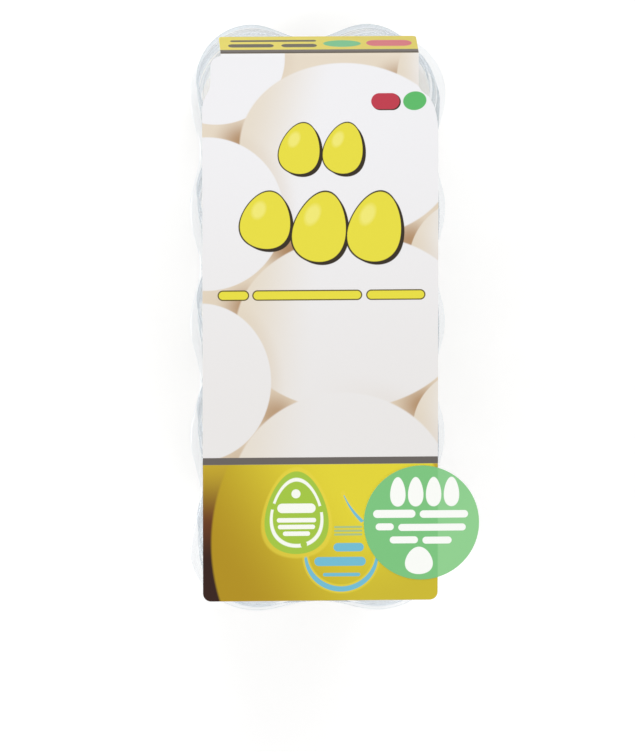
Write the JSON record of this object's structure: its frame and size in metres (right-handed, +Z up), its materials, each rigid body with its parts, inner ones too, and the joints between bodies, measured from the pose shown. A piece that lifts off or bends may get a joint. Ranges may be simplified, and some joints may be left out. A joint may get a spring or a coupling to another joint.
{
  "type": "egg carton with eggs",
  "caption": "Shut clear plastic egg pack with stacked layers of white eggs, a tray between the layers, a press-fit lid and a card label folded over one end.",
  "frame": {"origin": "middle of the tub's base, on the long foot that the two middle cups share, level with what the pack rests on", "axes": "+X across the pack, +Y along it towards the end where the label folds down, +Z up through the label"},
  "size_m": [0.1138, 0.2318, 0.1179],
  "materials": {
    "clear_plastic": "clear thermoformed sheet, smooth and shiny",
    "label_card": "thin printed card with a satin coat",
    "sticker_paper": "green satin paper",
    "eggshell": "matt white eggshell with fine pores"
  },
  "bodies": {
    "root": {"tub": "clear_plastic", "divider": "clear_plastic", "lid": "clear_plastic", "label": "label_card", "sticker": "sticker_paper", "egg_lower_01": "eggshell", "egg_lower_02": "eggshell", "egg_lower_03": "eggshell", "egg_lower_04": "eggshell", "egg_lower_05": "eggshell", "egg_lower_06": "eggshell", "egg_lower_07": "eggshell", "egg_lower_08": "eggshell", "egg_lower_09": "eggshell", "egg_lower_10": "eggshell", "egg_upper_01": "eggshell", "egg_upper_02": "eggshell", "egg_upper_03": "eggshell", "egg_upper_04": "eggshell", "egg_upper_05": "eggshell", "egg_upper_06": "eggshell", "egg_upper_07": "eggshell", "egg_upper_08": "eggshell", "egg_upper_09": "eggshell", "egg_upper_10": "eggshell"}
  },
  "joints": []
}
